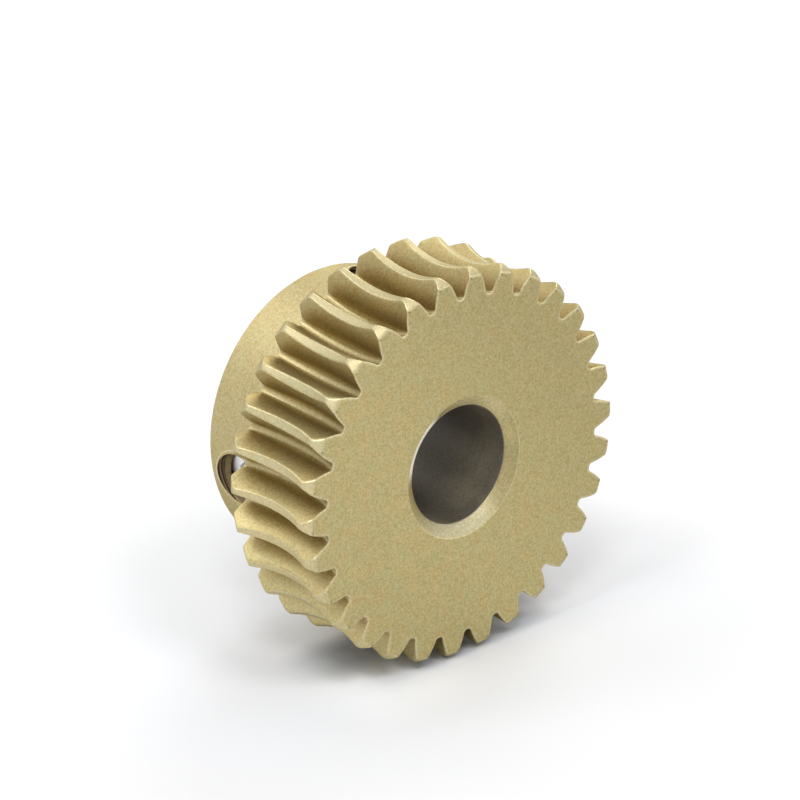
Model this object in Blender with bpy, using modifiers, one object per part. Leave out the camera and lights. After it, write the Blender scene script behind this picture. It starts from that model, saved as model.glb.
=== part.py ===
# Worm wheel: a bronze rim with thirty teeth, the hub behind it, and two set screws in the hub.
#
# The wheel's axis is world Y and its front face looks along -Y. The origin is on the axis,
# halfway along the bore. A gap between two teeth is straight below the axis, so the wheel
# stands on its rim on two teeth. Each piece is modelled about its own +Z axis and then turned.
#
# The teeth are those that a single start worm cuts. Every gap is lofted through cross sections
# of the wheel, and each section is the curve that the worm's thread sweeps in that plane.

import math

import bmesh
import bpy
from mathutils import Matrix, Vector

MM = 0.001

# Teeth and the worm that they mesh with
TOOTH_COUNT = 30
MODULE = 1.0 * MM
PRESSURE_ANGLE = math.radians(20.0)
WORM_PITCH_DIAMETER = 22.0 * MM
WORM_STARTS = 1
ROOT_DEPTH = 1.4 * MM
ROOT_CORNER_RADIUS = 0.3 * MM

# Rim
FACE_WIDTH = 10.0 * MM
THROAT_TOWARDS_FRONT = 0.13 * MM
FRONT_RIM_CHAMFER = 0.8 * MM
BACK_RIM_CHAMFER = 1.1 * MM
RIM_CHAMFER_ANGLE = math.radians(35.0)

# Hub and bore
HUB_DIAMETER = 24.5 * MM
HUB_LENGTH = 7.5 * MM
HUB_CHAMFER = 0.3 * MM
BORE_DIAMETER = 10.0 * MM
BORE_CHAMFER_WIDTH = 1.05 * MM
BORE_CHAMFER_DEPTH = 0.75 * MM

# Set screws and their tapped holes; angles run clockwise from the top, seen from the front
SCREW_THREAD_DIAMETER = 5.0 * MM
SCREW_HOLE_COUNTERSINK = 0.27 * MM
SCREW_ANGLES = {"set_screw_left": math.radians(259.4), "set_screw_top": math.radians(15.7)}
SCREW_RECESS = 1.15 * MM
SCREW_CHAMFER = 0.35 * MM
SCREW_CUP_DIAMETER = 2.5 * MM
SCREW_CUP_DEPTH = 0.6 * MM
SCREW_SOCKET_ACROSS_FLATS = 2.5 * MM
SCREW_SOCKET_DEPTH = 2.5 * MM
FIT_GAP = 0.3 * MM

# How finely the round forms are divided
TURN_STEPS = 120
CREST_STEPS = 6
FLANK_STEPS = 3
ROOT_CORNER_STEPS = 2
SCREW_STEPS = 32

# Worked out from the sizes above
PITCH_RADIUS = TOOTH_COUNT * MODULE / 2
WORM_PITCH_RADIUS = WORM_PITCH_DIAMETER / 2
CENTRE_DISTANCE = PITCH_RADIUS + WORM_PITCH_RADIUS
THREAD_RISE = WORM_STARTS * MODULE / 2
THROAT_FROM_FRONT = FACE_WIDTH / 2 - THROAT_TOWARDS_FRONT
THROAT_CURVE_RADIUS = WORM_PITCH_RADIUS - MODULE
ROOT_CURVE_RADIUS = WORM_PITCH_RADIUS + ROOT_DEPTH
HUB_RADIUS = HUB_DIAMETER / 2
BORE_RADIUS = BORE_DIAMETER / 2
LENGTH = FACE_WIDTH + HUB_LENGTH
BACK_CHAMFER_START = FACE_WIDTH - BACK_RIM_CHAMFER
CUT_OVERRUN = 0.3 * MM

# From a piece's own frame (+Z to the back, +Y down) to the world
AXIS_ALONG_Y = Matrix.Translation((0, -LENGTH / 2, 0)) @ Matrix.Rotation(math.radians(-90), 4, "X")


def clear_scene():
    for obj in list(bpy.data.objects):
        bpy.data.objects.remove(obj, do_unlink=True)


def new_collection(name):
    collection = bpy.data.collections.new(name)
    bpy.context.scene.collection.children.link(collection)
    return collection


def metal(name, colour, roughness):
    material = bpy.data.materials.new(name)
    material.use_nodes = True
    shader = material.node_tree.nodes["Principled BSDF"]
    shader.inputs["Base Color"].default_value = (*colour, 1.0)
    shader.inputs["Roughness"].default_value = roughness
    shader.inputs["Metallic"].default_value = 1.0
    return material


def add_object(name, mesh, collection, matrix=Matrix.Identity(4)):
    obj = bpy.data.objects.new(name, mesh)
    obj.matrix_world = matrix
    collection.objects.link(obj)
    return obj


def turned(name, profile, steps, collection, matrix=Matrix.Identity(4)):
    """A closed profile of (radius, height) points, turned about Z; it runs down its outer side."""
    mesh = bpy.data.meshes.new(name)
    points = [(radius, 0, height) for radius, height in profile]
    edges = [(i, (i + 1) % len(points)) for i in range(len(points))]
    mesh.from_pydata(points, edges, [])
    obj = add_object(name, mesh, collection, matrix)
    screw = obj.modifiers.new("Turn", "SCREW")
    screw.axis = "Z"
    screw.angle = math.tau
    screw.steps = steps
    screw.render_steps = steps
    screw.use_merge_vertices = True
    screw.merge_threshold = 0.00001
    return obj


def turned_solid(name, profile, steps, collection, matrix=Matrix.Identity(4)):
    """As turned, for a profile that starts and ends on the axis."""
    obj = turned(name, profile, steps, collection, matrix)
    obj.data.clear_geometry()
    points = [(radius, 0, height) for radius, height in profile]
    edges = [(i, i + 1) for i in range(len(points) - 1)]
    obj.data.from_pydata(points, edges, [])
    return obj


def as_cutter(obj):
    obj.hide_render = True
    obj.display_type = "WIRE"
    return obj


def cut(obj, cutter):
    boolean = obj.modifiers.new("Cut " + cutter.name, "BOOLEAN")
    boolean.operation = "DIFFERENCE"
    boolean.solver = "EXACT"
    boolean.object = cutter


def shade_round(obj):
    """Smooth shading that keeps the machined edges, after the modifiers have run."""
    obj.data.shade_smooth()
    obj.data.set_sharp_from_angle(angle=math.radians(25))


def crest_radius(height):
    """The rim's tip surface: hollowed by a circle about the worm's axis, wider at both faces."""
    offset = height - THROAT_FROM_FRONT
    return CENTRE_DISTANCE - math.sqrt(THROAT_CURVE_RADIUS**2 - offset**2)


def tip_radius(height):
    """The rim's outside with its two end chamfers."""
    slope = math.tan(RIM_CHAMFER_ANGLE)
    if height < FRONT_RIM_CHAMFER:
        return crest_radius(FRONT_RIM_CHAMFER) - (FRONT_RIM_CHAMFER - height) * slope
    if height > BACK_CHAMFER_START:
        return crest_radius(BACK_CHAMFER_START) - (height - BACK_CHAMFER_START) * slope
    return crest_radius(height)


def root_height(offset):
    """How far the worm's thread reaches from its axis towards the wheel, in the plane at offset."""
    return math.sqrt(ROOT_CURVE_RADIUS**2 - offset**2)


def spread(low, high, steps):
    return [low + (high - low) * i / steps for i in range(steps + 1)]


def crest_heights():
    return spread(FRONT_RIM_CHAMFER, BACK_CHAMFER_START, CREST_STEPS)


def wheel_point(x, y, normal_x, normal_y):
    """Where a point of the thread's section touches the wheel, as (angle, radius) on the wheel.

    The section moves along x and the wheel rolls on it. A point touches the wheel when its
    normal passes through the pitch point, and the wheel is then turned back.
    """
    travel = (y - WORM_PITCH_RADIUS) * normal_x / normal_y - x
    across = x + travel
    down = CENTRE_DISTANCE - y
    return math.atan2(across, down) - travel / PITCH_RADIUS, math.hypot(across, down)


def thread_section(offset, y, side):
    """A point on one side of the worm's thread in the plane at offset, and the slope there."""
    reach = math.hypot(y, offset)
    middle = THREAD_RISE * math.atan2(offset, y)
    half_width = math.pi * MODULE / 4 - (reach - WORM_PITCH_RADIUS) * math.tan(PRESSURE_ANGLE)
    slope = -THREAD_RISE * offset / reach**2 - side * math.tan(PRESSURE_ANGLE) * y / reach
    return middle + side * half_width, slope


def gap_side(height, side):
    """One side of a gap in the plane at height, from the middle of its root to past its tip."""
    offset = height - THROAT_FROM_FRONT
    tip = root_height(offset)
    # The thread's corner is an arc that meets its side at corner_y and its tip at the end
    corner_y = tip - ROOT_CORNER_RADIUS
    for _ in range(4):
        x, slope = thread_section(offset, corner_y, side)
        length = math.hypot(1, slope)
        corner_y = tip - ROOT_CORNER_RADIUS * (1 + side * slope / length)
    x, slope = thread_section(offset, corner_y, side)
    length = math.hypot(1, slope)
    centre_x = x - side * ROOT_CORNER_RADIUS / length
    centre_y = corner_y + side * slope * ROOT_CORNER_RADIUS / length
    start = math.atan2(corner_y - centre_y, x - centre_x)
    points = []
    for angle in spread(math.pi / 2, start, ROOT_CORNER_STEPS):
        normal = (math.cos(angle), math.sin(angle))
        place = (centre_x + ROOT_CORNER_RADIUS * normal[0], centre_y + ROOT_CORNER_RADIUS * normal[1])
        points.append(wheel_point(*place, *normal))
    top_y = CENTRE_DISTANCE - tip_radius(height) - CUT_OVERRUN
    for y in spread(corner_y, top_y, FLANK_STEPS)[1:]:
        x, slope = thread_section(offset, y, side)
        points.append(wheel_point(x, y, side, -side * slope))
    return points


def gap_section(height):
    """The closed outline of one gap in the plane at height, as (angle, radius) points."""
    left = gap_side(height, -1)
    right = gap_side(height, 1)
    return left[::-1] + right


def tooth_gaps(collection):
    """All the gaps as one cutter: each is a loft through its sections, capped at both ends."""
    inside = [0, *crest_heights(), FACE_WIDTH]
    sections = [gap_section(height) for height in inside]
    # The first and last sections run on straight, past the rim's two faces
    heights = [-CUT_OVERRUN, *inside, FACE_WIDTH + CUT_OVERRUN]
    sections = [sections[0], *sections, sections[-1]]
    shape = bmesh.new()
    for gap in range(TOOTH_COUNT):
        place = math.pi + math.tau * gap / TOOTH_COUNT
        rings = []
        for height, section in zip(heights, sections):
            ring = [
                shape.verts.new((r * math.sin(place + a), -r * math.cos(place + a), height))
                for a, r in section
            ]
            rings.append(ring)
        count = len(rings[0])
        for lower, upper in zip(rings, rings[1:]):
            for i in range(count):
                j = (i + 1) % count
                shape.faces.new((lower[i], lower[j], upper[j], upper[i]))
        shape.faces.new(rings[0][::-1])
        shape.faces.new(rings[-1])
    bmesh.ops.recalc_face_normals(shape, faces=shape.faces)
    mesh = bpy.data.meshes.new("tooth_gaps")
    shape.to_mesh(mesh)
    shape.free()
    return as_cutter(add_object("tooth_gaps", mesh, collection, AXIS_ALONG_Y))


def screw_frame(angle):
    """A frame whose +Z points outwards along a tapped hole and whose origin is on the axis."""
    turn = Matrix.Rotation(angle, 4, "Z")
    outwards = Matrix.Rotation(math.radians(90), 4, "X")
    middle = Matrix.Translation((0, 0, FACE_WIDTH + HUB_LENGTH / 2))
    return AXIS_ALONG_Y @ middle @ turn @ outwards


def tapped_hole(name, angle, collection):
    """A radial hole from the bore to outside the hub, with a small countersink at its mouth."""
    radius = SCREW_THREAD_DIAMETER / 2
    mouth = radius + SCREW_HOLE_COUNTERSINK
    # The countersink ends at the mouth's highest point on the round hub
    rim = HUB_RADIUS
    outside = HUB_RADIUS + HUB_CHAMFER + CUT_OVERRUN
    profile = [
        (0, outside),
        (mouth, outside),
        (mouth, rim),
        (radius, rim - 2 * SCREW_HOLE_COUNTERSINK),
        (radius, 0),
        (0, 0),
    ]
    return as_cutter(turned_solid(name, profile, SCREW_STEPS, collection, screw_frame(angle)))


def wheel(parts, cutters, material):
    """The bronze wheel: a turned blank with its bore, cut by the gaps and the tapped holes."""
    mouth = BORE_RADIUS + BORE_CHAMFER_WIDTH
    rim = [(tip_radius(height), height) for height in [FACE_WIDTH, *reversed(crest_heights()), 0]]
    profile = [
        (mouth, LENGTH),
        (HUB_RADIUS - HUB_CHAMFER, LENGTH),
        (HUB_RADIUS, LENGTH - HUB_CHAMFER),
        (HUB_RADIUS, FACE_WIDTH),
        *rim,
        (mouth, 0),
        (BORE_RADIUS, BORE_CHAMFER_DEPTH),
        (BORE_RADIUS, LENGTH - BORE_CHAMFER_DEPTH),
    ]
    body = turned("worm_wheel", profile, TURN_STEPS, parts, AXIS_ALONG_Y)
    body.data.materials.append(material)
    cut(body, tooth_gaps(cutters))
    for name, angle in SCREW_ANGLES.items():
        cut(body, tapped_hole(name + "_hole", angle, cutters))
    shade_round(body)
    return body


def set_screw(name, angle, parts, cutters, material):
    """A cup point set screw, whose socket end lies below the hub's surface."""
    radius = SCREW_THREAD_DIAMETER / 2 - FIT_GAP
    top = HUB_RADIUS - SCREW_RECESS
    tip = BORE_RADIUS + FIT_GAP
    frame = screw_frame(angle)
    profile = [
        (0, top),
        (radius - SCREW_CHAMFER, top),
        (radius, top - SCREW_CHAMFER),
        (radius, tip + SCREW_CHAMFER),
        (SCREW_CUP_DIAMETER / 2, tip),
        (0, tip + SCREW_CUP_DEPTH),
    ]
    body = turned_solid(name, profile, SCREW_STEPS, parts, frame)
    body.data.materials.append(material)
    socket = bmesh.new()
    corner_radius = SCREW_SOCKET_ACROSS_FLATS / math.sqrt(3)
    depth = SCREW_SOCKET_DEPTH + CUT_OVERRUN
    bmesh.ops.create_cone(
        socket, cap_ends=True, segments=6, radius1=corner_radius, radius2=corner_radius, depth=depth,
        matrix=Matrix.Translation((0, 0, top + CUT_OVERRUN - depth / 2)),
    )
    mesh = bpy.data.meshes.new(name + "_socket")
    socket.to_mesh(mesh)
    socket.free()
    cut(body, as_cutter(add_object(name + "_socket", mesh, cutters, frame)))
    shade_round(body)
    return body


def main():
    clear_scene()
    parts = new_collection("Worm wheel")
    cutters = new_collection("Worm wheel cutters")
    bronze = metal("Bronze", (0.48, 0.41, 0.19), 0.42)
    steel = metal("Bright steel", (0.62, 0.62, 0.64), 0.25)
    wheel(parts, cutters, bronze)
    for name, angle in SCREW_ANGLES.items():
        set_screw(name, angle, parts, cutters, steel)


main()
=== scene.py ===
import math

import bmesh
import bpy
import numpy as np
from mathutils import Matrix, Vector


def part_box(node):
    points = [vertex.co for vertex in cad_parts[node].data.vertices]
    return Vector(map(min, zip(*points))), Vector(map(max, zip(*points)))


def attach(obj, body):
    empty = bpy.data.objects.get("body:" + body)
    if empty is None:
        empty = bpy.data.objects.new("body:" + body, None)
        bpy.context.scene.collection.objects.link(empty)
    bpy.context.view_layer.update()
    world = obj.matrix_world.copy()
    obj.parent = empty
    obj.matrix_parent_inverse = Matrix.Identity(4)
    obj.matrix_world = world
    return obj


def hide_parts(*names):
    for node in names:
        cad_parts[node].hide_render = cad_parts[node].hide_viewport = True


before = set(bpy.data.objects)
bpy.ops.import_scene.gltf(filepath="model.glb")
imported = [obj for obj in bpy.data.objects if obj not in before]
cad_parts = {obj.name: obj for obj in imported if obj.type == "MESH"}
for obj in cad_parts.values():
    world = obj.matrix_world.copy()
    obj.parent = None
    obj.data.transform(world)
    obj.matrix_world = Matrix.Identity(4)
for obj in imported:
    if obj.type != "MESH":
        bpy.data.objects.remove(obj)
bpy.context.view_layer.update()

mm = 0.001

# Sizes are in millimetres and angles in degrees, unless a line says otherwise.
# The wheel's axis is Y, its front face looks along -Y and it stands on two teeth.
wheel = {
    "toothCount": 30,
    "module": 1.0,
    "pressureAngle": 20.0,
    "wormPitchRadius": 11.0,
    "rootDepth": 1.4,
    "rootCorner": 0.3,
    "faceWidth": 10.0,
    "throatFromFront": 4.87,
    "frontChamfer": 0.8,
    "backChamfer": 1.1,
    "chamferAngle": 35.0,
    "frontBlend": 0.4,  # how softly the tooth's crest turns into its end chamfers
    "backBlend": 0.3,
    "toothEdge": 0.09,  # rounding of the crest's long edges
    "toothEdgeAtFront": 0.12,  # added towards the front, on the side that the worm leaves last
    "edgeSteps": 4,
    "crestAcross": 5,
    "faceEdge": 0.11,  # rounding of the edges round both faces
    "hubRadius": 12.25,
    "hubLength": 7.5,
    "hubChamfer": 0.3,
    "hubCorner": 0.35,  # fillet between the hub and the rim
    "boreRadius": 5.0,
    "boreChamferWidth": 1.05,
    "boreChamferDepth": 0.75,
    "turnedEdge": 0.07,
    "turnedInset": 0.2,  # how far in the middle of such an edge lies, as a share
    # the worn middle of a turned edge, lightened as wear and a painted highlight
    "turnedWearAndHighlight": 0.8,
    "turnedSteps": 240,
    "faceLand": 0.2,  # narrow ring of the face round the bore's chamfer
    # near both ends the tooth's sections lie closer together
    "frontZone": 1.8,
    "backZone": 2.2,
    "frontSections": 11,
    "middleSections": 12,
    "backSections": 12,
    "flankSteps": 10,
    "flankSamples": 200,
    "pastCrest": 1.5,  # how far the samples go on past the crest
    "rootSteps": 5,
    "sharpFrom": 35.0,  # edges with a larger angle than this stay sharp
}

# The angle runs clockwise from the top, seen from the front
screws = {
    "places": {"set_screw_left": 259.4, "set_screw_top": 15.7},
    "holeRadius": 2.55,
    "holeMouth": 2.8,
    # how far each countersink stands off its hole, towards the hub's end
    "mouthShift": {"set_screw_left": 0.15, "set_screw_top": -0.15},
    # the holes are cut from inside the bore to outside the hub
    "cutFrom": 3.4,
    "cutBeyond": 1.2,
    "pitch": 0.8,
    "threadDepth": 0.42,
    "threadCrest": 0.2,  # the flat of the crest, as a share of the pitch
    "play": 0.06,
    "recess": 1.15,
    "tipGap": 0.3,  # from the bore's wall to the screw's tip
    "endChamfer": 0.2,
    "socketAcrossFlats": 2.5,
    "socketDepth": 2.5,
    "socketLeadIn": 0.12,
    "socketCone": 0.5,
    "socketTurn": 12.0,
    "cupRadius": 1.25,
    "cupDepth": 0.6,
    "cupSteps": 32,
    "stepsRound": 48,
    "stepsPerPitch": 8,
    "sharpFrom": 30.0,
}

length = wheel["faceWidth"] + wheel["hubLength"]
hubMiddle = wheel["faceWidth"] + wheel["hubLength"] / 2 - length / 2
centreDistance = wheel["toothCount"] * wheel["module"] / 2 + wheel["wormPitchRadius"]

# what each point of the teeth carries for the finish; gapDepth is 0 at the crest and 1 at the root
toothMarks = ("edgeWearAndHighlight", "crest", "gapDepth", "root")


def addObject(name, data):
    item = bpy.data.objects.new(name, data)
    bpy.context.scene.collection.objects.link(item)
    return item


def meshObject(name, points, faces):
    mesh = bpy.data.meshes.new(name)
    mesh.from_pydata(points, [], faces)
    mesh.validate()
    shape = bmesh.new()
    shape.from_mesh(mesh)
    bmesh.ops.recalc_face_normals(shape, faces=shape.faces)
    shape.to_mesh(mesh)
    shape.free()
    return addObject(name, mesh)


def applyModifiers(item):
    graph = bpy.context.evaluated_depsgraph_get()
    mesh = bpy.data.meshes.new_from_object(item.evaluated_get(graph))
    item.modifiers.clear()
    item.data = mesh


def cutAway(item, cutter, solver="EXACT"):
    boolean = item.modifiers.new("cut", "BOOLEAN")
    boolean.operation = "DIFFERENCE"
    boolean.solver = solver
    boolean.object = cutter
    applyModifiers(item)
    bpy.data.objects.remove(cutter, do_unlink=True)


def smoothMin(a, b, blend):
    share = np.clip(0.5 + 0.5 * (b - a) / blend, 0, 1)
    return b + (a - b) * share - blend * share * (1 - share)


def throatRadius(height):
    reach = wheel["wormPitchRadius"] - wheel["module"]
    return centreDistance - np.sqrt(reach**2 - (height - wheel["throatFromFront"]) ** 2)


def crestRadius(height):
    # the hollow tip surface, cut at both ends by the chamfer cones
    slope = math.tan(math.radians(wheel["chamferAngle"]))
    front = wheel["frontChamfer"]
    back = wheel["faceWidth"] - wheel["backChamfer"]
    frontCone = throatRadius(front) + (height - front) * slope
    backCone = throatRadius(back) - (height - back) * slope
    radius = smoothMin(throatRadius(height), frontCone, wheel["frontBlend"])
    return smoothMin(radius, backCone, wheel["backBlend"])


def threadSide(offset, y, side):
    # one side of the worm's thread in the plane at offset, and its slope there
    rise = wheel["module"] / 2
    tangent = math.tan(math.radians(wheel["pressureAngle"]))
    reach = np.hypot(y, offset)
    halfWidth = math.pi * wheel["module"] / 4 - (reach - wheel["wormPitchRadius"]) * tangent
    x = rise * np.arctan2(offset, y) + side * halfWidth
    return x, -rise * offset / reach**2 - side * tangent * y / reach


def rollOnWheel(x, y, normalX, normalY):
    # a thread point cuts the wheel when its normal passes through the pitch point
    pitchRadius = centreDistance - wheel["wormPitchRadius"]
    travel = (y - wheel["wormPitchRadius"]) * normalX / normalY - x
    down = centreDistance - y
    return np.arctan2(x + travel, down) - travel / pitchRadius, np.hypot(x + travel, down)


def cornerSize(offset, side):
    # rounding of a tooth's tip: it grows from the throat to the front on one side of the tooth
    away = min(max(-offset / wheel["throatFromFront"], 0), 1) if side < 0 else 0
    return wheel["toothEdge"] + wheel["toothEdgeAtFront"] * away**2


def gapSide(height, side):
    # angles and radii up one side of a gap, from its root to the end of the crest's rounded edge
    offset = height - wheel["throatFromFront"]
    corner = wheel["rootCorner"]
    tip = math.sqrt((wheel["wormPitchRadius"] + wheel["rootDepth"]) ** 2 - offset**2)
    # the place where the root's corner meets the flank settles in a few rounds
    y = tip - corner
    for _ in range(6):
        x, slope = threadSide(offset, y, side)
        y = tip - corner * (1 + side * slope / math.hypot(1, slope))
    x, slope = threadSide(offset, y, side)
    size = math.hypot(1, slope)
    centreX = x - side * corner / size
    centreY = y + side * slope * corner / size
    start = math.atan2(y - centreY, x - centreX)
    turn = np.linspace(math.pi / 2, start, wheel["rootSteps"] + 1)
    rootAngle, rootRadius = rollOnWheel(
        centreX + corner * np.cos(turn), centreY + corner * np.sin(turn), np.cos(turn), np.sin(turn)
    )
    crest = crestRadius(height)
    past = centreDistance - crest - wheel["pastCrest"]
    tall = np.linspace(y, past, wheel["flankSamples"])[1:]
    x, slope = threadSide(offset, tall, side)
    angle, radius = rollOnWheel(x, tall, side, -side * slope)
    edge = cornerSize(offset, side)
    ends = np.linspace(rootRadius[-1], crest - edge, wheel["flankSteps"] + 1)[1:]
    flank = np.interp(ends, radius, angle)
    # the rounded edge: a curve from the flank's end, past the corner, to the crest
    step = np.linspace(0, 1, wheel["edgeSteps"] + 1)[1:]
    cornerAngle = np.interp(crest, radius, angle)
    crestEnd = cornerAngle + side * edge / crest
    left = (1 - step) ** 2
    bendAngle = left * flank[-1] + 2 * step * (1 - step) * cornerAngle + step**2 * crestEnd
    bendRadius = left * ends[-1] + (1 - left) * crest
    angles = np.concatenate([rootAngle, flank, bendAngle])
    return angles, np.concatenate([rootRadius, ends, bendRadius])


def toothOutline(height):
    # one tooth and half of the gap at each side of it, from a root middle to short of the next
    pitchAngle = math.tau / wheel["toothCount"]
    upAngle, upRadius = gapSide(height, 1)
    downAngle, downRadius = gapSide(height, -1)
    downAngle = downAngle[::-1] + pitchAngle
    crest = np.linspace(upAngle[-1], downAngle[0], wheel["crestAcross"] + 1)[1:-1]
    middle = (upAngle[0] + downAngle[-1] - pitchAngle) / 2
    angles = np.concatenate([[middle], upAngle, crest, downAngle])
    radii = np.concatenate([[upRadius[0]], upRadius, crest * 0 + upRadius[-1], downRadius[::-1]])
    # the marks, in the order of toothMarks
    flankEnd = len(upAngle) - wheel["edgeSteps"]
    # the rounded edges carry wear and a painted highlight
    wornAndHighlighted = np.zeros(len(angles))
    wornAndHighlighted[flankEnd + 1 : len(upAngle)] = 1
    wornAndHighlighted = np.maximum(wornAndHighlighted, np.append([0], wornAndHighlighted[1:][::-1]))
    top = np.zeros(len(angles))
    top[len(upAngle) : len(upAngle) + 2 + len(crest)] = 1
    depth = np.clip((upRadius[-1] - radii) / (upRadius[-1] - radii.min()), 0, 1)
    root = np.zeros(len(angles))
    root[: wheel["rootSteps"] + 1] = 1
    root[-wheel["rootSteps"] :] = 1
    return angles, radii, np.stack([wornAndHighlighted, top, depth, root], 1)


def wholeRing(height):
    angles, radii, marks = toothOutline(height)
    starts = math.pi + math.tau * np.arange(wheel["toothCount"]) / wheel["toothCount"]
    angles = (starts[:, None] + angles[None, :]).ravel()
    return angles, np.tile(radii, wheel["toothCount"]), np.tile(marks, (wheel["toothCount"], 1))


def drawnIn(angles, radii, amount):
    # the same outline, moved into the metal by amount
    x = radii * np.sin(angles)
    z = radii * np.cos(angles)
    alongX = np.roll(x, -1) - np.roll(x, 1)
    alongZ = np.roll(z, -1) - np.roll(z, 1)
    size = np.hypot(alongX, alongZ)
    x = x + amount * alongZ / size
    z = z - amount * alongX / size
    return np.unwrap(np.arctan2(x, z)), np.hypot(x, z)


def softCorners(path, edge):
    # each corner of a turned outline becomes three points
    inset = wheel["turnedInset"]
    points = [Vector(path[0])]
    for before, here, after in zip(path, path[1:], path[2:]):
        here = Vector(here)
        inward = (Vector(before) - here).normalized() * edge
        outward = (Vector(after) - here).normalized() * edge
        points += [here + inward, here + (inward + outward) * inset, here + outward]
    return points + [Vector(path[-1])]


def addStrip(shape, layers, rings):
    # each ring: angles, radii, height and marks; returns the edges of both open ends
    rows = []
    for angles, radii, height, marks in rings:
        row = []
        for angle, radius, mark in zip(angles, radii, marks):
            place = (radius * math.sin(angle), height - length / 2, radius * math.cos(angle))
            vertex = shape.verts.new(Vector(place) * mm)
            for layer, value in zip(layers, mark):
                vertex[layer] = value
            row.append(vertex)
        rows.append(row)
    for low, high in zip(rows, rows[1:]):
        for column in range(len(low)):
            before = column - 1
            shape.faces.new((low[before], low[column], high[column], high[before]))
    ends = []
    for row in (rows[0], rows[-1]):
        ends.append([shape.edges.get((row[column - 1], row[column])) for column in range(len(row))])
    return ends


def buildWheel():
    faceWidth = wheel["faceWidth"]
    edge = wheel["faceEdge"]
    frontZone = wheel["frontZone"]
    backZone = faceWidth - wheel["backZone"]
    sections = np.concatenate([
        np.linspace(edge, frontZone, wheel["frontSections"]),
        np.linspace(frontZone, backZone, wheel["middleSections"])[1:-1],
        np.linspace(backZone, faceWidth - edge, wheel["backSections"]),
    ])

    def faceRings(height, inward):
        # how far each ring is drawn in and lies below the face, as shares of the edge, and its wear
        # with a painted highlight
        angles, radii, marks = wholeRing(height)
        out = []
        for amount, depth, wearAndHighlight in ((2.5, 0, 0), (1, 0, 1), (0.3, 0.3, 1)):
            ringAngles, ringRadii = drawnIn(angles, radii, edge * amount)
            wornAndHighlighted = marks * 0 + (wearAndHighlight, 0, 0, 0)
            out.append((ringAngles, ringRadii, height + inward * edge * depth, wornAndHighlighted))
        return out

    rim = faceRings(0.0, 1)
    for height in sections:
        angles, radii, marks = wholeRing(height)
        rim.append((angles, radii, height, marks))
    rim += faceRings(faceWidth, -1)[::-1]

    mouth = wheel["boreRadius"] + wheel["boreChamferWidth"]
    hub = wheel["hubRadius"]
    chamfer = wheel["hubChamfer"]
    corner = wheel["hubCorner"]
    # radii and heights, from the rim's back over the hub and through the bore to the front face
    path = [
        (hub + corner, faceWidth),
        (hub + corner * 0.3, faceWidth + corner * 0.3),
        (hub, faceWidth + corner),
        (hub, length - chamfer),
        (hub - chamfer, length),
        (mouth, length),
        (wheel["boreRadius"], length - wheel["boreChamferDepth"]),
        (wheel["boreRadius"], wheel["boreChamferDepth"]),
        (mouth, 0),
        (mouth + wheel["faceLand"], 0),
    ]
    even = math.tau * np.arange(wheel["turnedSteps"]) / wheel["turnedSteps"]
    turned = []
    for number, point in enumerate(softCorners(path, wheel["turnedEdge"])):
        # the middle point of each corner is worn and carries a painted highlight, from the hub's end
        # on
        wearAndHighlight = wheel["turnedWearAndHighlight"] if number > 6 and number % 3 == 2 else 0
        marks = np.tile((wearAndHighlight, 0, 0, 0), (len(even), 1))
        turned.append((even, even * 0 + point[0], point[1], marks))

    shape = bmesh.new()
    layers = [shape.verts.layers.float.new(name) for name in toothMarks]
    rimFront, rimBack = addStrip(shape, layers, rim)
    turnedBack, turnedFront = addStrip(shape, layers, turned)
    bmesh.ops.triangle_fill(shape, use_beauty=True, edges=rimFront + turnedFront, normal=(0, -1, 0))
    bmesh.ops.triangle_fill(shape, use_beauty=True, edges=rimBack + turnedBack, normal=(0, 1, 0))
    bmesh.ops.recalc_face_normals(shape, faces=shape.faces)
    mesh = bpy.data.meshes.new("wheelBody")
    shape.to_mesh(mesh)
    shape.free()
    return addObject("wheelBody", mesh)


def screwMatrix(angle):
    # +Z points outwards along the hole, from the wheel's axis
    turn = Matrix.Rotation(math.radians(angle), 4, "Y")
    return Matrix.Translation((0, hubMiddle * mm, 0)) @ turn


def threadedRod(name, low, high, outline):
    # outline gives the radius from the height, the place in the pitch, 0 to 1, and the angle
    around = screws["stepsRound"]
    rows = math.ceil((high - low) / screws["pitch"] * screws["stepsPerPitch"])
    heights = np.linspace(low, high, rows + 1)
    points = []
    for height in heights:
        for step in range(around):
            angle = math.tau * step / around
            radius = outline(height, (height / screws["pitch"] - step / around) % 1, angle)
            points.append((radius * math.cos(angle) * mm, radius * math.sin(angle) * mm, height * mm))
    faces = []
    for row in range(rows):
        here = row * around
        above = here + around
        for step in range(around):
            following = (step + 1) % around
            faces.append((here + step, here + following, above + following, above + step))
    faces.append(tuple(range(around))[::-1])
    faces.append(tuple(rows * around + step for step in range(around)))
    return meshObject(name, points, faces)


def threadRadius(outer, place):
    # the crest of the external thread is at the middle of the pitch
    steepness = 1 / (0.5 - screws["threadCrest"] / 2)
    form = min(max(0.5 * steepness - abs(place - 0.5) * steepness, 0), 1)
    return outer - screws["threadDepth"] * (1 - form)


def holeCutter(name, angle, shift):
    hub = wheel["hubRadius"]
    mouth = screws["holeMouth"]

    def outline(height, place, around):
        countersink = mouth + min(max(height - hub, -mouth), 0)
        reach = countersink**2 - (shift * math.cos(around)) ** 2
        shifted = shift * math.sin(around) + math.sqrt(max(reach, 0))
        return max(threadRadius(screws["holeRadius"], place), shifted)

    cutter = threadedRod(name, screws["cutFrom"], hub + screws["cutBeyond"], outline)
    cutter.matrix_world = screwMatrix(angle)
    return cutter


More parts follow.
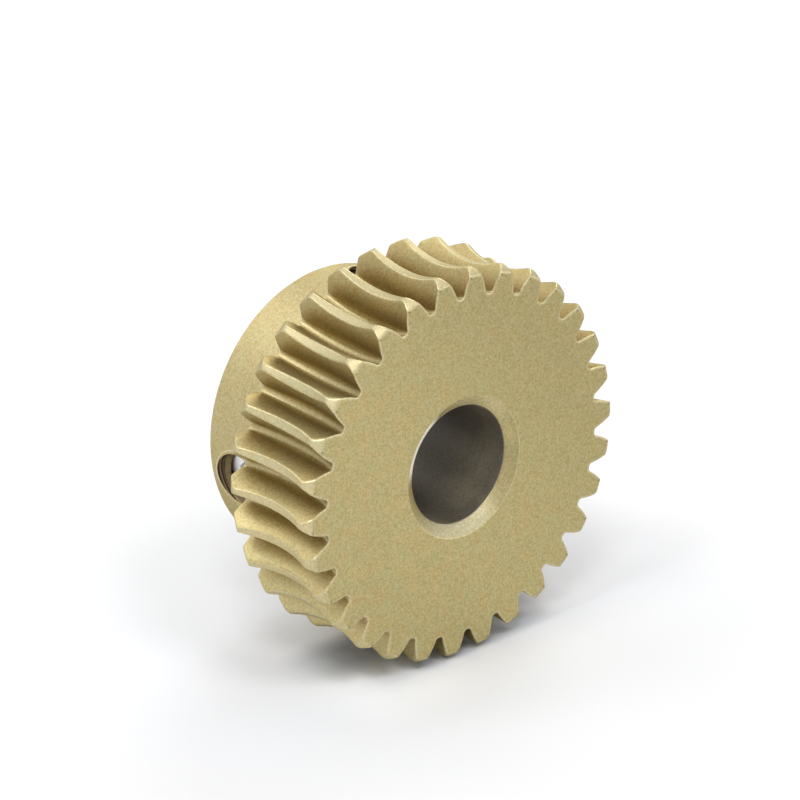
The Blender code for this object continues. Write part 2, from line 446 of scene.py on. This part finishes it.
def socketCutter(name, top):
    # a hexagon with a cone at its bottom and a small lead-in at its mouth
    sides = 6
    corner = screws["socketAcrossFlats"] / 2 / math.cos(math.pi / sides)
    lead = screws["socketLeadIn"]
    bottom = top - screws["socketDepth"]
    # heights and radii; the first level lies outside the screw
    levels = [(top + 0.4, corner + 0.5), (top, corner + lead), (top - lead, corner), (bottom, corner)]
    points = []
    faces = []
    for level, (height, reach) in enumerate(levels):
        here = level * sides
        above = here - sides
        for side in range(sides):
            turn = math.radians(360 / sides * side + screws["socketTurn"])
            points.append((reach * math.cos(turn) * mm, reach * math.sin(turn) * mm, height * mm))
            if level:
                following = (side + 1) % sides
                faces.append((here + side, here + following, above + following, above + side))
    tip = len(points)
    points.append((0, 0, (bottom - screws["socketCone"]) * mm))
    for side in range(sides):
        faces.append((here + side, here + (side + 1) % sides, tip))
    faces.append(tuple(range(sides)))
    return meshObject(name, points, faces)


def buildScrew(name, angle):
    radius = screws["holeRadius"] - screws["play"]
    top = wheel["hubRadius"] - screws["recess"]
    tip = wheel["boreRadius"] + screws["tipGap"]

    def outline(height, place, around):
        fromEnd = min(top - height, height - tip)
        return min(threadRadius(radius, place), radius - screws["endChamfer"] + fromEnd)

    item = threadedRod(name, tip, top, outline)
    cutAway(item, socketCutter(name + "Socket", top))
    # the cup in the tip: its cone starts a trace outside
    cupDepth = screws["cupDepth"]
    bpy.ops.mesh.primitive_cone_add(
        vertices=screws["cupSteps"],
        radius1=screws["cupRadius"] * mm,
        radius2=0,
        depth=cupDepth * mm,
        location=(0, 0, (tip - 0.001 + cupDepth / 2) * mm),
    )
    cutAway(item, bpy.context.object)
    item.matrix_world = screwMatrix(angle)
    return item


def finishRound(item, sharpness):
    item.data.shade_smooth()
    item.data.set_sharp_from_angle(angle=math.radians(sharpness))
    weighted = item.modifiers.new("normals", "WEIGHTED_NORMAL")
    weighted.keep_sharp = True


class Wire:
    # one output socket, so that shader maths reads as maths
    def __init__(self, finish, socket):
        self.finish = finish
        self.socket = socket

    def maths(self, operation, *values):
        return self.finish.add("Math", {"operation": operation}, dict(enumerate(values)))

    def __add__(self, other):
        return self.maths("ADD", self, other)

    def __radd__(self, other):
        return self.maths("ADD", other, self)

    def __sub__(self, other):
        return self.maths("SUBTRACT", self, other)

    def __rsub__(self, other):
        return self.maths("SUBTRACT", other, self)

    def __mul__(self, other):
        return self.maths("MULTIPLY", self, other)

    def __rmul__(self, other):
        return self.maths("MULTIPLY", other, self)

    def __truediv__(self, other):
        return self.maths("DIVIDE", self, other)

    def __pow__(self, other):
        return self.maths("POWER", self, other)

    def between(self, start, full):
        # 0 at start and 1 at full, eased and clamped; it falls where start is the larger one
        sockets = {"Value": self, "From Min": start, "From Max": full}
        return self.finish.add("MapRange", {"interpolation_type": "SMOOTHSTEP"}, sockets, "Result")

    def band(self, start, full, fading, end):
        # 0 up to start, 1 from full to fading and 0 again from end
        return self.between(start, full) * self.between(end, fading)


class Finish:
    # the nodes round one shader, of a material or of the world
    def __init__(self, owner, shader="Principled BSDF"):
        owner.use_nodes = True
        self.owner = owner
        self.tree = owner.node_tree
        self.shader = self.tree.nodes[shader]

    def connect(self, slot, value):
        if isinstance(value, Wire):
            self.tree.links.new(value.socket, slot)
        else:
            slot.default_value = value

    def add(self, kind, settings, sockets, output=0):
        node = self.tree.nodes.new("ShaderNode" + kind)
        for key, value in settings.items():
            setattr(node, key, value)
        for key, value in sockets.items():
            self.connect(node.inputs[key], value)
        return Wire(self, node.outputs[output])

    def mix(self, share, first, second, blend="MIX"):
        # a Mix node set to colour has them at its sockets 6 and 7
        settings = {"data_type": "RGBA", "blend_type": blend}
        return self.add("Mix", settings, {0: share, 6: first, 7: second}, 2)

    def noise(self, where, size, detail, roughness):
        scale = 1 / (size * mm)
        sockets = {"Vector": where, "Scale": scale, "Detail": detail, "Roughness": roughness}
        return self.add("TexNoise", {}, sockets)

    def put(self, **sockets):
        for key, value in sockets.items():
            self.connect(self.shader.inputs[key.replace("_", " ")], value)


bronze = {
    "warm": (0.518, 0.405, 0.187, 1),
    "cool": (0.451, 0.408, 0.210, 1),
    # painted shade: the bore dark inside, with painted light towards its front mouth
    "bore": (0.132, 0.12, 0.10, 1),
    "boreMouthLit": (0.34, 0.295, 0.21, 1),
    "atOutline": (0.45, 0.43, 0.38, 1),  # how little it reflects where it turns away from the eye
    # each tone is a colour and how much of it is laid over what is there already
    "tones": {
        "plain": ((0.485, 0.407, 0.196, 1), 0.5),
        "blotch": ((0.451, 0.408, 0.210, 1), 0.35),
        "shadedFarFace": ((0.33, 0.28, 0.135, 1), 0.5),  # painted shade: the front face darker at its upper right
        "hub": ((0.528, 0.442, 0.240, 1), 0.6),
        "crest": ((0.605, 0.538, 0.332, 1), 0.8),
        # painted shade: darker down the flanks into the gaps
        "flank": ((0.343, 0.246, 0.110, 1), 0.7),
        # painted shade on the flanks and crests of the upper teeth
        "shadedHighFlank": ((0.343, 0.246, 0.110, 1), 0.28),
        "shadedHighCrest": ((0.42, 0.37, 0.22, 1), 0.5),
        "litLowTooth": ((0.70, 0.59, 0.31, 1), 0.36),  # painted light: the paler teeth of the lower half
        "root": ((0.52, 0.445, 0.24, 1), 0.9),
        # wear and a painted highlight on the rounded edges
        "edge": ((0.74, 0.67, 0.464, 1), 0.3),
        # painted shade inside the tapped holes, and wear with a painted highlight on their rims
        "hole": ((0.185, 0.14, 0.074, 1), 1.0),
        "holeShadeLines": ((0.04, 0.03, 0.02, 1), 1.0),
        "holeRimWearAndHighlight": ((0.74, 0.67, 0.464, 1), 0.8),
        # painted light and shade round the bore's chamfer
        "chamfer": ((0.474, 0.433, 0.289, 1), 0.8),
        "litChamferTop": ((0.66, 0.575, 0.33, 1), 0.7),
        "shadedChamferSide": ((0.311, 0.263, 0.13, 1), 0.55),
        "burrHighlight": ((0.86, 0.81, 0.66, 1), 1.0),  # painted highlight: the bright rim at the chamfer's upper left
        # painted light at the top of the bore, near its front
        "boreTopLight": ((0.34, 0.295, 0.21, 1), 0.6),
        "boreStain": ((0.14, 0.135, 0.13, 1), 0.35),
    },
    # where each zone starts and where it is full, along Y unless a line says otherwise
    "zones": {
        "frontFace": (-8.4, -8.6),
        "shadedFarFace": (-6.0, 14.0),  # towards the angle of the face's painted shade
        "hub": (1.2, 1.6),
        "hubSurface": (12.0, 12.2, 12.3, 12.6),  # radii: start, full, fading and end
        "high": (3.0, 10.0),  # heights of the painted shade on the upper teeth
        "low": (6.0, -3.0),  # heights of the painted light on the lower teeth
        "chamfer": (7.6, 8.0),  # either way from the middle
        "bore": (5.12, 5.02),  # radii
        "boreMouthLit": (0.0, -9.0),
        "boreTopLight": (0.0, -6.0),
        "boreTop": (-2.0, 4.0),  # heights
    },
    # the angle towards which the front face's painted shade deepens
    "faceShadeAngle": 48.7,
    # which values of each noise, or of the depth in a gap, count as none and as all
    "ranges": {
        "tint": (0.25, 0.75),
        "blotch": (0.40, 0.70),
        "boreStain": (0.45, 0.62),
        "grain": (0.25, 0.75),
        "flank": (0.0, 0.9),
        "anyFlank": (0.0, 0.12),
    },
    # painted light and shade on the bore's chamfer, by the angle round it: the angle of the middle,
    # and the cosines at start and full
    "chamferLightAndShade": {
        "chamfer": (185.0, 0.45, 1.0),
        "litChamferTop": (20.0, 0.7, 1.0),
        "shadedChamferSide": (115.0, 0.8, 0.96),
        "burrHighlight": (-57.0, 0.82, 0.97),
    },
    # the size, detail and roughness of each noise
    "grain": (0.20, 3.0, 0.75),
    "tint": (1.25, 0.5, 0.5),
    "blotches": (10 / 3, 2.0, 0.5),
    "grainStrength": (0.37, 0.48, 0.73),  # in red, green and blue
    "calmCrest": 0.4,  # how much of the grain the crests lack
    "relief": 0.010,
    "reliefStrength": 0.6,
    "roughness": 0.50,
    "rougher": {"grain": 0.25, "edge": -0.15, "crest": 0.05, "burrHighlight": 0.15},
    "dull": {"burrHighlight": 0.9, "bore": 0.25},  # how far these are from metal
}

# painted shade in a tapped hole and the painted highlight on its rim, measured from the edges of the
# hole and of its countersink
holeLightAndShade = {
    "belowHub": (-0.02, -0.08),
    "shadedWall": (0.75, 0.65),
    "mouthShadeLine": (-0.22, -0.14),
    "edgeShadeLine": (0.01, 0.04, 0.1, 0.16),
    "rim": (-0.06, 0.0, 0.03, 0.09),
}


def holeMarks(radius, along, back, shift):
    # 1 on the hole's wall, painted dark as shade, on its two painted shade lines and on its rim, worn
    # and with a painted highlight
    # along is the distance along the hole, back that from its axis towards the hub's end
    across = radius * radius - along * along
    fromHole = (across + back * back) ** 0.5 - screws["holeRadius"]
    back = back - shift
    fromMouth = (across + back * back) ** 0.5 - screws["holeMouth"]
    thisSide = along.between(0, 1)
    belowHub = (radius - wheel["hubRadius"]).between(*holeLightAndShade["belowHub"])
    shadedWall = fromHole.between(*holeLightAndShade["shadedWall"]) * thisSide * belowHub
    shadeLines = fromMouth.between(*holeLightAndShade["mouthShadeLine"]) + fromHole.band(*holeLightAndShade["edgeShadeLine"])
    rim = fromMouth.band(*holeLightAndShade["rim"]) * thisSide
    return shadedWall, shadedWall * shadeLines.between(0, 1), rim * (1 - belowHub)


def bronzeFinish():
    finish = Finish(bpy.data.materials.new("bronze"))
    zones = bronze["zones"]
    ranges = bronze["ranges"]
    place = finish.add("TexCoord", {}, {}, "Object")
    x, y, z = (finish.add("SeparateXYZ", {}, {"Vector": place}, axis) / mm for axis in "XYZ")
    radius = (x * x + z * z) ** 0.5
    grain = finish.noise(place, *bronze["grain"])
    tint = finish.noise(place, *bronze["tint"])
    blotches = finish.noise(place, *bronze["blotches"])
    wearAndHighlight, crest, depth, root = (
        finish.add("Attribute", {"attribute_name": mark}, {}, "Fac") for mark in toothMarks
    )

    def towards(angle):
        # how far a point lies out at this angle, clockwise from the top
        turn = math.radians(angle)
        return x * math.sin(turn) + z * math.cos(turn)

    def lay(colour, mask, tone):
        shade, share = bronze["tones"][tone]
        return finish.mix(mask * share, colour, shade)

    colour = finish.mix(tint.between(*ranges["tint"]), bronze["cool"], bronze["warm"])
    colour = lay(colour, 1, "plain")
    colour = lay(colour, blotches.between(*ranges["blotch"]), "blotch")
    # painted shade: the front face darker towards its upper right
    shadedSide = towards(bronze["faceShadeAngle"]).between(*zones["shadedFarFace"])
    colour = lay(colour, y.between(*zones["frontFace"]) * shadedSide, "shadedFarFace")
    colour = lay(colour, y.between(*zones["hub"]) * radius.band(*zones["hubSurface"]), "hub")

    high = z.between(*zones["high"])
    low = z.between(*zones["low"])
    onFlank = depth.between(*ranges["anyFlank"])
    colour = lay(colour, crest, "crest")
    # painted shade: the flanks darker down into the gaps
    colour = lay(colour, depth.between(*ranges["flank"]), "flank")
    # painted shade on the upper teeth and painted light on the lower ones
    colour = lay(colour, onFlank * high, "shadedHighFlank")
    colour = lay(colour, crest * high, "shadedHighCrest")
    colour = lay(colour, (crest + onFlank).between(0, 1) * low, "litLowTooth")
    colour = lay(colour, root, "root")
    # the rounded edges lighter: wear and a painted highlight
    colour = lay(colour, wearAndHighlight, "edge")

    for name, angle in screws["places"].items():
        shift = screws["mouthShift"][name]
        shadedWall, shadeLines, rim = holeMarks(radius, towards(angle), y - hubMiddle, shift)
        # painted shade on the hole's wall and lines, and a painted highlight on its rim
        colour = lay(colour, shadedWall, "hole")
        colour = lay(colour, shadeLines, "holeShadeLines")
        colour = lay(colour, rim, "holeRimWearAndHighlight")

    mouth = wheel["boreRadius"] + wheel["boreChamferWidth"]
    fromMiddle = (y * y) ** 0.5
    onChamfer = (radius.between(mouth, mouth - 0.05) * fromMiddle).between(*zones["chamfer"])

    def chamferShading(tone):
        angle, start, full = bronze["chamferLightAndShade"][tone]
        return onChamfer * (towards(angle) / radius).between(start, full)

    # painted light and shade round the bore's chamfer, and a painted highlight at its upper left
    for tone in ("chamfer", "litChamferTop", "shadedChamferSide"):
        colour = lay(colour, chamferShading(tone), tone)
    burrHighlight = chamferShading("burrHighlight")
    colour = lay(colour, burrHighlight, "burrHighlight")

    # painted shade in the bore, with painted light towards its front mouth and at its top
    inBore = radius.between(*zones["bore"])
    boreShadeColour = finish.mix(y.between(*zones["boreMouthLit"]), bronze["bore"], bronze["boreMouthLit"])
    litTop = z.between(*zones["boreTop"]) * y.between(*zones["boreTopLight"])
    boreShadeColour = lay(boreShadeColour, litTop, "boreTopLight")
    boreShadeColour = lay(boreShadeColour, blotches.between(*ranges["boreStain"]), "boreStain")
    colour = finish.mix(inBore, colour, boreShadeColour)

    # the grain changes blue the most and red the least, so its dark specks are brown
    speck = (grain.between(*ranges["grain"]) - 0.5) * (1 - crest * bronze["calmCrest"])
    red, green, blue = (1 + speck * strength for strength in bronze["grainStrength"])
    specks = finish.add("CombineColor", {}, {"Red": red, "Green": green, "Blue": blue})
    colour = finish.mix(1.0, colour, specks, "MULTIPLY")

    rougher = bronze["rougher"]
    roughness = bronze["roughness"] + (grain - 0.5) * rougher["grain"] + wearAndHighlight * rougher["edge"]
    roughness = roughness + crest * rougher["crest"] + burrHighlight * rougher["burrHighlight"]
    relief = bronze["relief"] * mm
    bump = {"Strength": bronze["reliefStrength"], "Distance": relief, "Height": grain}
    finish.put(
        Base_Color=colour,
        Metallic=(1 - burrHighlight * bronze["dull"]["burrHighlight"]) * (1 - inBore * bronze["dull"]["bore"]),
        Roughness=roughness,
        Normal=finish.add("Bump", {}, bump),
        Specular_Tint=bronze["atOutline"],
    )
    return finish.owner


steel = {
    "colour": (0.97, 0.97, 0.99, 1),
    "dark": (0.60, 0.60, 0.63, 1),
    "darkShare": 0.4,
    "darkRange": (0.55, 0.8),
    "grain": (0.3125, 3.0, 0.6),
    "relief": 0.01,
    "reliefStrength": 0.3,
    "roughness": 0.30,
    "roughnessOfGrain": 0.15,
}


def steelFinish():
    finish = Finish(bpy.data.materials.new("brightSteel"))
    place = finish.add("TexCoord", {}, {}, "Object")
    grain = finish.noise(place, *steel["grain"])
    dark = grain.between(*steel["darkRange"]) * steel["darkShare"]
    relief = steel["relief"] * mm
    bump = {"Strength": steel["reliefStrength"], "Distance": relief, "Height": grain}
    finish.put(
        Base_Color=finish.mix(dark, steel["colour"], steel["dark"]),
        Metallic=1.0,
        Roughness=steel["roughness"] + grain * steel["roughnessOfGrain"],
        Normal=finish.add("Bump", {}, bump),
    )
    return finish.owner


studio = {
    "floorSize": 4.0,  # metres
    "floorRoughness": 0.9,
    "floorColour": (0.775, 0.776, 0.782, 1),
    # painted light and shade on the floor, each a little blue to take back the warm light that the
    # bronze throws on it: a tint near the wheel, painted light in front of its foot and a painted
    # shadow under the rim
    "floorNearWheel": (0.77, 0.783, 0.815, 1),
    "floorLitInFront": (0.88, 0.895, 0.92, 1),
    "floorShadowUnderRim": (0.50, 0.52, 0.555, 1),
    # where those lie: distances from the wheel's middle and from a point in front of its foot
    "nearWheel": (45, 18),
    "foot": (-8, -8),
    "litInFront": (9, 1),
    # start, full, fading and end along X, and the same along Y
    "shadowUnderRim": ((-14, -8, 8, 14), (-6.5, -3, -1, 2)),
    "shadowInGaps": ((-6, -3, 7, 12), (-9.2, -7.5, -2, 0)),
    "sky": 0.61,
    # where each lamp stands, seen from the wheel, its power and its softness
    "lamps": {
        "frontRight": ((0.70, -0.70, 0.14), 0.34, 38),
        "backRight": ((0.71, 0.41, 0.57), 0.70, 30),
        "back": ((0.0, 0.82, 0.57), 0.26, 30),
        "front": ((0.0, -0.57, 0.82), 0.57, 16),
        "left": ((-0.57, 0.0, 0.82), 0.56, 16),
        "frontLeft": ((-0.41, -0.41, 0.82), 0.68, 16),
        "backLeft": ((-0.41, 0.41, 0.82), 0.24, 16),
        "overhead": ((0.27, 0.15, 0.95), 0.10, 16),
    },
}


def floorFinish():
    finish = Finish(bpy.data.materials.new("paleFloor"))
    place = finish.add("TexCoord", {}, {}, "Object")
    fromWheel = finish.add("VectorMath", {"operation": "LENGTH"}, {0: place}, "Value") / mm
    x, y = (finish.add("SeparateXYZ", {}, {"Vector": place}, axis) / mm for axis in "XY")
    footX, footY = (along - foot for along, foot in zip((x, y), studio["foot"]))
    fromFoot = (footX * footX + footY * footY) ** 0.5

    def patch(alongX, alongY):
        return x.band(*alongX) * y.band(*alongY)

    # painted shadow under the rim and under its lowest teeth
    shadowUnderRim = patch(*studio["shadowUnderRim"])
    shadowUnderRim = shadowUnderRim + patch(*studio["shadowInGaps"]) * (1 - shadowUnderRim)
    near = fromWheel.between(*studio["nearWheel"])
    colour = finish.mix(near, studio["floorColour"], studio["floorNearWheel"])
    # painted light in front of the foot
    colour = finish.mix(fromFoot.between(*studio["litInFront"]), colour, studio["floorLitInFront"])
    colour = finish.mix(shadowUnderRim, colour, studio["floorShadowUnderRim"])
    roughness = studio["floorRoughness"]
    finish.put(Base_Color=colour, Roughness=roughness, Specular_IOR_Level=0.0)
    return finish.owner


def buildFloor():
    half = studio["floorSize"] / 2
    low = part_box("worm_wheel")[0].z
    corners = [(-half, -half, low), (half, -half, low), (half, half, low), (-half, half, low)]
    floor = meshObject("floor", corners, [(0, 1, 2, 3)])
    floor.data.materials.append(floorFinish())


def buildSky():
    sky = Finish(bpy.data.worlds.new("studio"), "Background")
    bpy.context.scene.world = sky.owner
    # white behind the wheel and in what metal mirrors, and dimmer as the wheel's own light
    rays = ("Is Camera Ray", "Is Glossy Ray", "Is Transmission Ray")
    camera, glossy, through = (sky.add("LightPath", {}, {}, ray) for ray in rays)
    seen = (camera + glossy + through).between(0, 1)
    sky.put(Color=(1, 1, 1, 1), Strength=studio["sky"] * (1 - seen) + seen)


def buildLamps():
    for name, (direction, power, softness) in studio["lamps"].items():
        light = bpy.data.lights.new(name, "SUN")
        light.energy = power
        light.angle = math.radians(softness)
        lamp = addObject(name, light)
        lamp.rotation_euler = Vector(direction).to_track_quat("Z", "Y").to_euler()


photo = {
    "lens": 210.84,
    "sensorWidth": 36.0,
    "nearest": 0.01,  # metres
    "location": (-0.230658, -0.262742, 0.154758),  # metres
    "right": (0.74605145, -0.66573826, -0.01413519),
    "down": (-0.2746252, -0.28827851, -0.91732028),
}


def buildCamera():
    camera = bpy.data.cameras.new("photoCamera")
    camera.lens = photo["lens"]
    camera.sensor_width = photo["sensorWidth"]
    camera.clip_start = photo["nearest"]
    item = addObject("photoCamera", camera)
    right = Vector(photo["right"]).normalized()
    up = -Vector(photo["down"]).normalized()
    turn = Matrix((right, up, right.cross(up))).transposed()
    item.matrix_world = Matrix.Translation(photo["location"]) @ turn.to_4x4()
    bpy.context.scene.camera = item


wheelItem = buildWheel()
print("wheel:", len(wheelItem.data.polygons), "faces")
for screwName, screwAngle in screws["places"].items():
    cutter = holeCutter(screwName + "Hole", screwAngle, screws["mouthShift"][screwName])
    cutAway(wheelItem, cutter, "MANIFOLD")
print("wheel with its holes:", len(wheelItem.data.polygons), "faces")
finishRound(wheelItem, wheel["sharpFrom"])
wheelItem.data.materials.clear()
wheelItem.data.materials.append(bronzeFinish())
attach(wheelItem, "root")
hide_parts("worm_wheel")

steelMaterial = steelFinish()
for screwName, screwAngle in screws["places"].items():
    screwItem = buildScrew(screwName.replace("_", "") + "Body", screwAngle)
    finishRound(screwItem, screws["sharpFrom"])
    screwItem.data.materials.clear()
    screwItem.data.materials.append(steelMaterial)
    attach(screwItem, "root")
    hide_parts(screwName)
    print(screwName, len(screwItem.data.polygons), "faces")

buildFloor()
buildSky()
buildLamps()
buildCamera()
bpy.context.scene.view_settings.view_transform = "Standard"
print("studio and camera ready")
